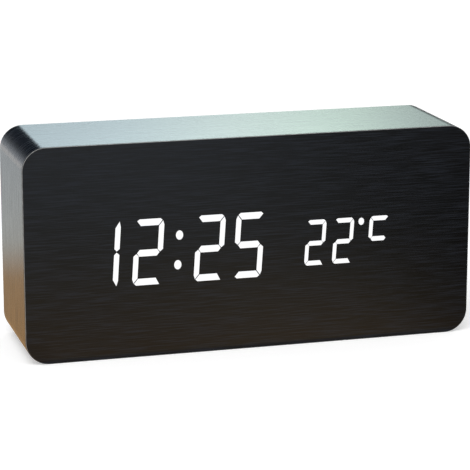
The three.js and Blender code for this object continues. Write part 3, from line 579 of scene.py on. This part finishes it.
def perimeterPlace(x, z, sizes):
    # how far along the outline a place is, from the left end of the underside, anticlockwise
    radius, slack = sizes["corner"], sizes["cornerSlack"]
    halfX, halfZ = sizes["length"] / 2 - radius, sizes["height"] / 2 - radius
    dx, dz = x, z - sizes["height"] / 2
    arc = radius * math.pi / 2
    if abs(dx) <= halfX + slack:
        if dz < 0:
            return dx + halfX
        return 2 * halfX + 2 * arc + 2 * halfZ + (halfX - dx)
    if abs(dz) <= halfZ + slack:
        if dx > 0:
            return 2 * halfX + arc + (dz + halfZ)
        return 4 * halfX + 3 * arc + 2 * halfZ + (halfZ - dz)
    # round a corner: the way from its side face, up or down
    onArc = radius * math.atan2(abs(dz) - halfZ, abs(dx) - halfX)
    if dx > 0 and dz < 0:
        return 2 * halfX + arc - onArc
    if dx > 0:
        return 2 * halfX + arc + 2 * halfZ + onArc
    if dz > 0:
        return 4 * halfX + 3 * arc + 2 * halfZ - onArc
    return 4 * halfX + 3 * arc + 4 * halfZ + onArc


def layGrainAlong(piece, sizes):
    # U follows the film round the case and V goes back, both in metres
    uvs = piece.data.uv_layers.new(name="wrapAlong")
    whole = 2 * (sizes["length"] + sizes["height"]) - (8 - 2 * math.pi) * sizes["corner"]
    corners, loops = piece.data.vertices, piece.data.loops
    for face in piece.data.polygons:
        middle = perimeterPlace(face.center.x / mm, face.center.z / mm, sizes)
        for loop in face.loop_indices:
            place = corners[loops[loop].vertex_index].co / mm
            along = perimeterPlace(place.x, place.z, sizes)
            # a face across the start of the outline keeps its corners together
            if along - middle > whole / 2:
                along -= whole
            if middle - along > whole / 2:
                along += whole
            uvs.data[loop].uv = (along * mm, place.y * mm)


def makeWrap():
    sizes = wrapSizes
    half = sizes["length"] / 2
    wrap = addBlock(
        "filmWrap", (-half, sizes["front"], 0), (half, sizes["back"], sizes["height"]))
    roundLongCorners(wrap, sizes["corner"], sizes["cornerSteps"])
    pickFaces(wrap, lambda middle, normal: isFrontOrBack(normal))
    bpy.ops.mesh.inset(thickness=sizes["thickness"] * mm)
    bpy.ops.mesh.bridge_edge_loops()
    leaveEdit()
    turnNormalsOut(wrap)
    softenEdges(wrap, sizes["rim"])
    layGrainAlong(wrap, sizes)
    wear(wrap, wrapFilmLook)
    standFor(wrap, "case", "wrap_film", "side_wrap")


makeWrap()
print("film wrap made")


# plastics, metals, fibreboard and circuit board

mouldedDetail = {"cloudSize": 14, "toneSpread": 0.08, "sheenSpread": 0.08}


def makeMoulded(name, colour, roughness, grain=0.35, depth=0.01):
    # moulded plastic with a fine spark-eroded skin
    tones, sheen = mouldedDetail["toneSpread"], mouldedDetail["sheenSpread"]
    finish = Finish(name, roughness)
    skin = finish.noise(finish.place(evenly(grain)), detail=3, roughness=0.65)
    cloudPlace = finish.place(evenly(mouldedDetail["cloudSize"]))
    clouds = finish.noise(cloudPlace, detail=2, roughness=0.5)
    darker = tuple(c * (1 - tones) for c in colour)
    lighter = tuple(min(c * (1 + tones), 1) for c in colour)
    finish.feed("Base Color", finish.ramp(
        finish.sum(clouds, skin, 0.25), (0.35, darker), (0.85, lighter)))
    finish.feed("Roughness", finish.span(skin, roughness - sheen, roughness + sheen, 0.3, 0.7))
    finish.bump(skin, depth)
    return finish.material


platedDetail = {
    "lines": (300, 300, 300), "patchSize": 3, "dullShare": 0.86,
    "smoother": 0.07, "rougher": 0.1, "depth": 0.004,
}


def makePlated(name, colour, roughness):
    # plated metal, faintly brushed, with a few duller patches
    detail = platedDetail
    finish = Finish(name, roughness, metallic=1.0)
    lines = finish.noise(finish.place(detail["lines"]), detail=2, roughness=0.6)
    patches = finish.noise(finish.place(evenly(detail["patchSize"])), detail=2, roughness=0.5)
    darker = tuple(c * detail["dullShare"] for c in colour)
    finish.feed("Base Color", finish.ramp(patches, (0.3, darker), (0.65, colour)))
    finish.feed("Roughness", finish.span(
        lines, roughness - detail["smoother"], roughness + detail["rougher"], 0.3, 0.7))
    finish.bump(lines, detail["depth"])
    return finish.material


boardTones = {
    "ground": (0.016, 0.012, 0.009), "stained": (0.034, 0.025, 0.018),
    "fibre": (0.075, 0.056, 0.04),
    "fibreSize": (1.2, 0.3, 0.5), "cloudSize": 6, "roughness": (0.78, 0.92), "depth": 0.05,
}


def makeFibreboard():
    # pressed fibres, stained dark: short pale fibres over a brown ground
    tones = boardTones
    finish = Finish("pressedFibreboard", 0.85)
    fibrePlace = finish.place(tuple(1 / (size * mm) for size in tones["fibreSize"]))
    fibres = finish.noise(fibrePlace, detail=4, roughness=0.7, distortion=0.8)
    clouds = finish.noise(finish.place(evenly(tones["cloudSize"])), detail=2, roughness=0.5)
    finish.feed("Base Color", finish.ramp(
        finish.sum(fibres, clouds, 0.4),
        (0.5, tones["ground"]), (0.72, tones["stained"]), (0.95, tones["fibre"])))
    finish.feed("Roughness", finish.span(fibres, *tones["roughness"]))
    finish.bump(fibres, tones["depth"])
    return finish.material


maskTones = {
    "Color1": (0.012, 0.09, 0.035), "Color2": (0.016, 0.12, 0.046), "Mortar": (0.03, 0.22, 0.08),
    "tracks": (300, 1, 420), "trackWidth": 0.06, "weave": (2500, 2500, 2500),
    "roughness": (0.3, 0.46), "depth": 0.006,
}


def makeSolderMask():
    # green mask over copper tracks
    tones = maskTones
    finish = Finish("solderMask", 0.38)
    tracks = finish.nodes.new("ShaderNodeTexBrick")
    tracks.inputs["Scale"].default_value = 1.0
    for socket in ("Color1", "Color2", "Mortar"):
        tracks.inputs[socket].default_value = (*tones[socket], 1)
    tracks.inputs["Mortar Size"].default_value = tones["trackWidth"]
    trackPlace = finish.place(tones["tracks"], turn=(math.pi / 2, 0, 0))
    finish.links.new(trackPlace, tracks.inputs["Vector"])
    finish.feed("Base Color", tracks.outputs["Color"])
    weave = finish.noise(finish.place(tones["weave"]), detail=1, roughness=0.5)
    finish.feed("Roughness", finish.span(weave, *tones["roughness"]))
    finish.bump(weave, tones["depth"])
    return finish.material


blackPlasticLook = makeMoulded("mouldedBlack", (0.014, 0.0145, 0.0155), 0.5)
whitePlasticLook = makeMoulded("mouldedWhite", (0.76, 0.76, 0.72), 0.45)
chipLook = makeMoulded("chipResin", (0.016, 0.016, 0.018), 0.6, 0.2)
ribbonLook = makeMoulded("ribbonVinyl", (0.35, 0.36, 0.37), 0.5, 0.5)
redLeadLook = makeMoulded("redInsulation", (0.45, 0.02, 0.015), 0.45, 0.3, 0.004)
blackLeadLook = makeMoulded("blackInsulation", (0.012, 0.012, 0.013), 0.45, 0.3, 0.004)
steelLook = makePlated("platedSteel", (0.56, 0.56, 0.58), 0.3)
# darker steel that paints the shade down in the screw slots
recessShadeLook = makePlated("paintedSlotShade", (0.16, 0.16, 0.17), 0.5)
sleeveLook = makeMoulded("cellSleeve", (0.02, 0.13, 0.15), 0.3, 1.2, 0.002)
sleeveBandLook = makeMoulded("cellSleeveBand", (0.5, 0.5, 0.5), 0.3, 1.2, 0.002)
fibreboardLook = makeFibreboard()
solderMaskLook = makeSolderMask()


# rear cover and battery door; columns and rows are the places of the seams

mouldedSizes = {
    "rearCover": {
        "edge": 0.18, "columns": (-65, -34, -18.9, 31, 65), "rows": (10, 22.25, 48.25, 60.5),
    },
    "batteryDoor": {"edge": 0.2, "columns": (31,), "rows": (35,)},
}


def dressMoulded(node, name, body):
    sizes = mouldedSizes[name]
    piece = mergedCopy(node, name)
    cutAcross(piece, sizes["columns"], sizes["rows"])
    dissolveFlats(piece)
    softenEdges(piece, sizes["edge"])
    wear(piece, blackPlasticLook)
    standFor(piece, body, "black_plastic", node)


dressMoulded("rear_cover", "rearCover", "case")
dressMoulded("battery_door", "batteryDoor", "door")
print("rear cover and battery door made")


# a turned piece is drawn along Z and then laid back along Y

laidBack = (-math.pi / 2, 0, 0)


# the three rear buttons

buttonSizes = {
    "sides": 48, "smoothBelow": 40,
    "profile": (
        (1.5, 14.2), (1.5, 14.9), (4.7, 14.9), (4.7, 15.9), (3.5, 15.9),
        (3.5, 18.4), (3.44, 18.62), (3.28, 18.8), (3.05, 18.91), (2.75, 18.95),
    ),
    "markRise": 0.25, "markRadius": 1.7, "markInner": 1.02, "markBevel": 0.08,
    "markRoot": 0.2, "markFloor": 0.02,
}


def makeCap():
    sizes = buttonSizes
    cap = addTurned("cap", sizes["profile"], sizes["sides"], laidBack)
    smoothFlats(cap, sizes["smoothBelow"])
    return cap


def makeRingMark():
    sizes = buttonSizes
    top = sizes["profile"][-1][1]
    outer, inner, proud = sizes["markRadius"], sizes["markInner"], top + sizes["markRise"]
    root, floor = top - sizes["markRoot"], top + sizes["markFloor"]
    profile = ((outer, root), (outer, proud), (inner, proud), (inner, floor))
    mark = addTurned("ringMark", profile, sizes["sides"], laidBack)
    softenEdges(mark, sizes["markBevel"])
    return mark


def makeArrowMark():
    sizes = buttonSizes
    top = sizes["profile"][-1][1]
    rise, root = sizes["markRise"], sizes["markRoot"]
    bpy.ops.object.select_all(action="DESELECT")
    bpy.ops.mesh.primitive_cylinder_add(
        vertices=3, radius=sizes["markRadius"] * mm, depth=(rise + root) * mm)
    mark = bpy.context.object
    laidAt(mark, 0, top + (rise - root) / 2, 0, laidBack)
    softenEdges(mark, sizes["markBevel"])
    return mark


def makeButton(name, body, node, cap, mark, turn=0):
    button, sign = copyOf(cap, name), copyOf(mark, name + "Mark")
    laidAt(sign, 0, 0, 0, (0, turn, 0))
    joinInto(button, sign)
    middle = placeOf(node)[2]
    laidAt(button, middle.x, 0, middle.z)
    wear(button, blackPlasticLook)
    standFor(button, body, "black_plastic", node)


def makeButtons():
    cap, ring, arrow = makeCap(), makeRingMark(), makeArrowMark()
    makeButton("setButton", "set_key", "set_button", cap, ring)
    makeButton("upButton", "up_key", "up_button", cap, arrow)
    makeButton("downButton", "down_key", "down_button", cap, arrow, math.pi)
    for pattern in (cap, ring, arrow):
        bpy.data.objects.remove(pattern, do_unlink=True)


makeButtons()
print("buttons made")


# the four screws of the rear cover

screwSizes = {
    "sides": 32,
    "profile": (
        (0.3, 7.7), (1.4, 8.9), (1.4, 16.9), (2.8, 16.9), (2.8, 17.5),
        (2.7, 17.78), (2.4, 17.98), (1.9, 18.12), (1.1, 18.19), (0.4, 18.2),
    ),
    "slotWide": 0.84, "slotLong": 3.1, "slotFloor": 17.4, "slotOpen": 19,
    "recessTop": 18.0, "recessRadius": 1.6, "smoothBelow": 35,
}


def makeCoverScrews():
    sizes = screwSizes
    floor, mouth = sizes["slotFloor"], sizes["slotOpen"]
    narrow, long = sizes["slotWide"] / 2, sizes["slotLong"] / 2
    first = addTurned("coverScrew1", sizes["profile"], sizes["sides"], laidBack)
    for x, z in ((long, narrow), (narrow, long)):
        cutWith(first, addBlock("slotCutter", (-x, floor, -z), (x, mouth, z)))
    smoothFlats(first, sizes["smoothBelow"])
    wear(first, steelLook, recessShadeLook)
    # faces down in the cross slot get the darker steel, a painted shade of the slot
    for face in first.data.polygons:
        middle = face.center / mm
        inside = math.hypot(middle.x, middle.z) < sizes["recessRadius"]
        cut = inside and floor - shaping["near"] < middle.y < sizes["recessTop"]
        face.material_index = 1 if cut else 0
    screws = [first] + [copyOf(first, f"coverScrew{index}") for index in range(2, 5)]
    for index, screw in enumerate(screws, 1):
        node = f"cover_screw_{index}"
        middle = placeOf(node)[2]
        laidAt(screw, middle.x, 0, middle.z)
        standFor(screw, "case", "steel", node)


makeCoverScrews()
print("cover screws made")


# the three battery cells

cellSizes = {
    "sides": 48,
    "profile": (
        (4.6, 0.0), (4.95, 0.05), (5.17, 0.25), (5.25, 0.6), (5.25, 9.0), (5.25, 42.7),
        (5.17, 43.1), (4.95, 43.4), (4.6, 43.5), (4.41, 43.4), (4.35, 43.2),
        (2.1, 43.2), (1.95, 43.3), (1.9, 43.5), (1.9, 44.2), (1.8, 44.42), (1.55, 44.5),
    ),
    "bandEnd": 9.0, "minusBare": 0.3, "plusBare": 43.15, "smoothBelow": 40,
}


def makeCells():
    # the first cell's plus end points along X, and the middle one lies the other way round
    sizes = cellSizes
    first = addTurned("batteryCell1", sizes["profile"], sizes["sides"], (0, math.pi / 2, 0))
    wear(first, sleeveLook, sleeveBandLook, steelLook)
    for face in first.data.polygons:
        along = face.center.x / mm
        bare = along < sizes["minusBare"] or along > sizes["plusBare"]
        face.material_index = 2 if bare else (1 if along < sizes["bandEnd"] else 0)
    smoothFlats(first, sizes["smoothBelow"])
    cells = [first] + [copyOf(first, f"batteryCell{index}") for index in (2, 3)]
    for index, cell in enumerate(cells, 1):
        node = f"battery_cell_{index}"
        low, high, middle = placeOf(node)
        if index == 2:
            laidAt(cell, high.x, middle.y, middle.z, (0, 0, math.pi))
        else:
            laidAt(cell, low.x, middle.y, middle.z)
        standFor(cell, "case", "cell_sleeve", node)


makeCells()
print("battery cells made")


# power socket

socketSizes = {"edge": 0.12, "pinRadius": 0.75, "boreFloor": 10.9}


def makeSocket():
    sizes = socketSizes
    piece = mergedCopy("power_socket", "powerSocket")
    middle = placeOf("power_socket")[2]
    cutAcross(piece, (middle.x,), (middle.z,))
    dissolveFlats(piece)
    softenEdges(piece, sizes["edge"])
    wear(piece, chipLook, steelLook)

    def onPin(corner):
        place = piece.data.vertices[corner].co / mm
        off = math.hypot(place.x - middle.x, place.z - middle.z)
        return off < sizes["pinRadius"] and place.y > sizes["boreFloor"]

    for face in piece.data.polygons:
        face.material_index = 1 if all(onPin(corner) for corner in face.vertices) else 0
    standFor(piece, "case", "chip_plastic", "power_socket")


makeSocket()
print("power socket made")


# finishes of the CAD nodes that stay as they are

nodeLooks = (
    (("case_body",), fibreboardLook),
    (("display_reflector", "set_plunger", "up_plunger", "down_plunger",
      "ribbon_socket_front", "ribbon_socket_rear"), whitePlasticLook),
    (("display_board", "key_board"), solderMaskLook),
    (("controller_chip", "set_switch", "up_switch", "down_switch", "temperature_probe"), chipLook),
    (("buzzer",), blackPlasticLook),
    (("display_screw_1", "display_screw_2", "display_screw_3", "display_screw_4",
      "key_board_screw_1", "key_board_screw_2", "key_board_screw_3", "key_board_screw_4",
      "contact_positive_end", "contact_bridge_left", "contact_bridge_right", "contact_negative_end",
      "clock_crystal", "microphone"), steelLook),
    (("ribbon_cable",), ribbonLook),
    (("battery_lead_red",), redLeadLook),
    (("battery_lead_black",), blackLeadLook),
)

for names, look in nodeLooks:
    for name in names:
        for place in nodesOfCad[name].material_slots:
            place.link = "OBJECT"
            place.material = look
print("inner pieces finished")


# floor, background and light

studio = {
    "floorSize": 8000, "floorDrop": 0.05, "floorTone": 0.8,
    "floorLift": 0.42, "fadeFrom": 450, "fadeTo": 1100, "skyForLight": 0.6,
    "key": {"place": (-500, -900, 1500), "aim": (0, 0, 35), "size": 900, "energy": 14},
}

# cards that only show in reflections; each is graded across itself and along itself
standing, lying = (math.pi / 2, 0, 0), (0, 0, 0)
cards = {
    "backSoftbox": {
        "place": (409, 1300, 460), "turn": standing, "size": (682, 900), "strength": 5.6,
        "across": (
            (0.0, (0.51, 0.62, 0.68)), (0.27, (0.65, 0.8, 0.85)), (0.44, (0.81, 0.97, 0.94)),
            (0.6, (0.73, 0.93, 0.82)), (0.69, (0.52, 0.64, 0.6)), (0.76, (0.36, 0.43, 0.42)),
            (1.0, (0.2, 0.26, 0.25))),
        "along": ((0.0, grey(0.0)), (0.22, grey(0.0)), (0.58, grey(1.0)), (1.0, grey(1.0))),
    },
    "darkFlag": {
        "place": (-559, 700, 450), "turn": standing, "size": (1132, 870), "strength": 1.0,
        "across": ((0.0, grey(0.75)), (1.0, (0.6, 0.66, 0.75))),
        "along": (
            (0.0, grey(1.0)), (0.05, grey(1.0)), (0.09, grey(0.82)), (0.15, grey(0.2)),
            (0.2, (0.04, 0.05, 0.07)), (0.26, (0.004, 0.01, 0.025)), (1.0, (0.004, 0.01, 0.025))),
    },
    "leftFloor": {
        "place": (-243, 150, 1), "turn": lying, "size": (354, 400), "strength": 0.96,
        "across": ((0.0, grey(1.0)), (1.0, grey(1.0))),
        "along": (
            (0.0, (0.78, 0.45, 0.19)), (0.34, (0.79, 0.51, 0.28)), (0.48, (0.93, 0.95, 0.9)),
            (0.6, (0.93, 0.97, 0.96)), (1.0, (0.82, 0.89, 0.94))),
    },
    "frontFloor": {
        "place": (102, -304, 1), "turn": (0, 0, 0.1), "size": (500, 600), "strength": 4.5,
        "endsAt": -20.5,
        "across": (
            (0.0, grey(0.78)), (0.28, grey(0.84)), (0.38, grey(1.0)), (0.45, grey(0.86)),
            (0.51, grey(0.4)), (0.57, grey(0.08)), (0.64, grey(0.02)), (1.0, grey(0.02))),
        "along": (
            (0.0, (0.87, 0.92, 1.0)), (0.31, (0.87, 0.92, 1.0)), (0.47, (0.65, 0.72, 0.85)),
            (0.58, (0.36, 0.43, 0.51)), (0.74, (0.235, 0.28, 0.28)), (0.87, (0.43, 0.35, 0.23)),
            (1.0, (0.53, 0.39, 0.25))),
    },
}


def seenDirectly(tree):
    # one for the camera and for what metal and glass show, nought for light that falls on things
    path = tree.nodes.new("ShaderNodeLightPath")
    seen = path.outputs["Is Camera Ray"]
    for kind in ("Is Glossy Ray", "Is Transmission Ray"):
        either = tree.nodes.new("ShaderNodeMath")
        either.operation = "MAXIMUM"
        tree.links.new(seen, either.inputs[0])
        tree.links.new(path.outputs[kind], either.inputs[1])
        seen = either.outputs["Value"]
    return seen


def liftOfFloor(tree):
    # the floor's own glow: low near the clock, full white far from it
    place = tree.nodes.new("ShaderNodeTexCoord")
    distance = tree.nodes.new("ShaderNodeVectorMath")
    distance.operation = "LENGTH"
    fade = tree.nodes.new("ShaderNodeMapRange")
    fade.interpolation_type = "SMOOTHSTEP"
    fade.inputs["From Min"].default_value = studio["fadeFrom"] * mm
    fade.inputs["From Max"].default_value = studio["fadeTo"] * mm
    fade.inputs["To Min"].default_value = studio["floorLift"]
    fade.inputs["To Max"].default_value = 1.0
    product = tree.nodes.new("ShaderNodeMath")
    product.operation = "MULTIPLY"
    tree.links.new(place.outputs["Object"], distance.inputs[0])
    tree.links.new(distance.outputs["Value"], fade.inputs["Value"])
    tree.links.new(fade.outputs["Result"], product.inputs[0])
    tree.links.new(seenDirectly(tree), product.inputs[1])
    return product.outputs["Value"]


def makeFloor():
    bpy.ops.object.select_all(action="DESELECT")
    bpy.ops.mesh.primitive_plane_add(
        size=studio["floorSize"] * mm, location=(0, 0, -studio["floorDrop"] * mm))
    floor = bpy.context.object
    floor.name = "floor"
    material = bpy.data.materials.new("paleFloor")
    material.use_nodes = True
    tree = material.node_tree
    tree.nodes.clear()
    diffuse = tree.nodes.new("ShaderNodeBsdfDiffuse")
    diffuse.inputs["Color"].default_value = (*grey(studio["floorTone"]), 1)
    glow = tree.nodes.new("ShaderNodeEmission")
    tree.links.new(liftOfFloor(tree), glow.inputs["Strength"])
    both = tree.nodes.new("ShaderNodeAddShader")
    tree.links.new(diffuse.outputs["BSDF"], both.inputs[0])
    tree.links.new(glow.outputs["Emission"], both.inputs[1])
    out = tree.nodes.new("ShaderNodeOutputMaterial")
    tree.links.new(both.outputs["Shader"], out.inputs["Surface"])
    wear(floor, material)


def makeSky():
    world = bpy.context.scene.world or bpy.data.worlds.new("studioWorld")
    bpy.context.scene.world = world
    world.use_nodes = True
    tree = world.node_tree
    tree.nodes.clear()
    shown, light = tree.nodes.new("ShaderNodeBackground"), tree.nodes.new("ShaderNodeBackground")
    shown.inputs["Strength"].default_value = 1.0
    light.inputs["Strength"].default_value = studio["skyForLight"]
    for background in (shown, light):
        background.inputs["Color"].default_value = (1, 1, 1, 1)
    mix = tree.nodes.new("ShaderNodeMixShader")
    tree.links.new(seenDirectly(tree), mix.inputs[0])
    tree.links.new(light.outputs["Background"], mix.inputs[1])
    tree.links.new(shown.outputs["Background"], mix.inputs[2])
    out = tree.nodes.new("ShaderNodeOutputWorld")
    tree.links.new(mix.outputs["Shader"], out.inputs["Surface"])


def gradeFrom(tree, axis, stops):
    # a colour that runs along one axis of the card, whose plane goes from -0.5 to 0.5
    place = tree.nodes.new("ShaderNodeTexCoord")
    axes = tree.nodes.new("ShaderNodeSeparateXYZ")
    tree.links.new(place.outputs["Object"], axes.inputs["Vector"])
    shift = tree.nodes.new("ShaderNodeMath")
    shift.inputs[1].default_value = 0.5
    tree.links.new(axes.outputs[axis], shift.inputs[0])
    ramp = tree.nodes.new("ShaderNodeValToRGB")
    setStops(ramp, stops)
    tree.links.new(shift.outputs["Value"], ramp.inputs["Fac"])
    return ramp.outputs["Color"]


def addCard(name):
    card = cards[name]
    bpy.ops.object.select_all(action="DESELECT")
    place = Vector(card["place"]) * mm
    bpy.ops.mesh.primitive_plane_add(size=1, location=place, rotation=card["turn"])
    plane = bpy.context.object
    plane.name = name
    plane.scale = (card["size"][0] * mm, card["size"][1] * mm, 1)
    if "endsAt" in card:
        # cut off in front of the clock, so that the ends of the clock don't show it
        editAll(plane)
        bpy.ops.mesh.bisect(
            plane_co=(0, card["endsAt"] * mm, 0), plane_no=(0, 1, 0), clear_outer=True)
        leaveEdit()
    material = bpy.data.materials.new(name + "Look")
    material.use_nodes = True
    tree = material.node_tree
    tree.nodes.clear()
    glow = tree.nodes.new("ShaderNodeEmission")
    glow.inputs["Strength"].default_value = card["strength"]
    both = tree.nodes.new("ShaderNodeMix")
    both.data_type, both.blend_type = "RGBA", "MULTIPLY"
    both.inputs["Factor"].default_value = 1
    colours = [socket for socket in both.inputs if socket.type == "RGBA"]
    tree.links.new(gradeFrom(tree, "X", card["across"]), colours[0])
    tree.links.new(gradeFrom(tree, "Y", card["along"]), colours[1])
    result = [socket for socket in both.outputs if socket.type == "RGBA"][0]
    tree.links.new(result, glow.inputs["Color"])
    out = tree.nodes.new("ShaderNodeOutputMaterial")
    tree.links.new(glow.outputs["Emission"], out.inputs["Surface"])
    wear(plane, material)
    plane.visible_camera = False
    plane.visible_diffuse = False
    plane.visible_shadow = False
    plane.visible_transmission = False


def makeLights():
    for name in cards:
        addCard(name)
    key = studio["key"]
    place = Vector(key["place"]) * mm
    turn = (Vector(key["aim"]) * mm - place).to_track_quat("-Z", "Y").to_euler()
    bpy.ops.object.light_add(type="AREA", location=place, rotation=turn)
    lamp = bpy.context.object
    lamp.name = "keySoftbox"
    lamp.data.size = key["size"] * mm
    lamp.data.energy = key["energy"]
    lamp.visible_camera = False


makeFloor()
makeSky()
makeLights()
print("studio set")
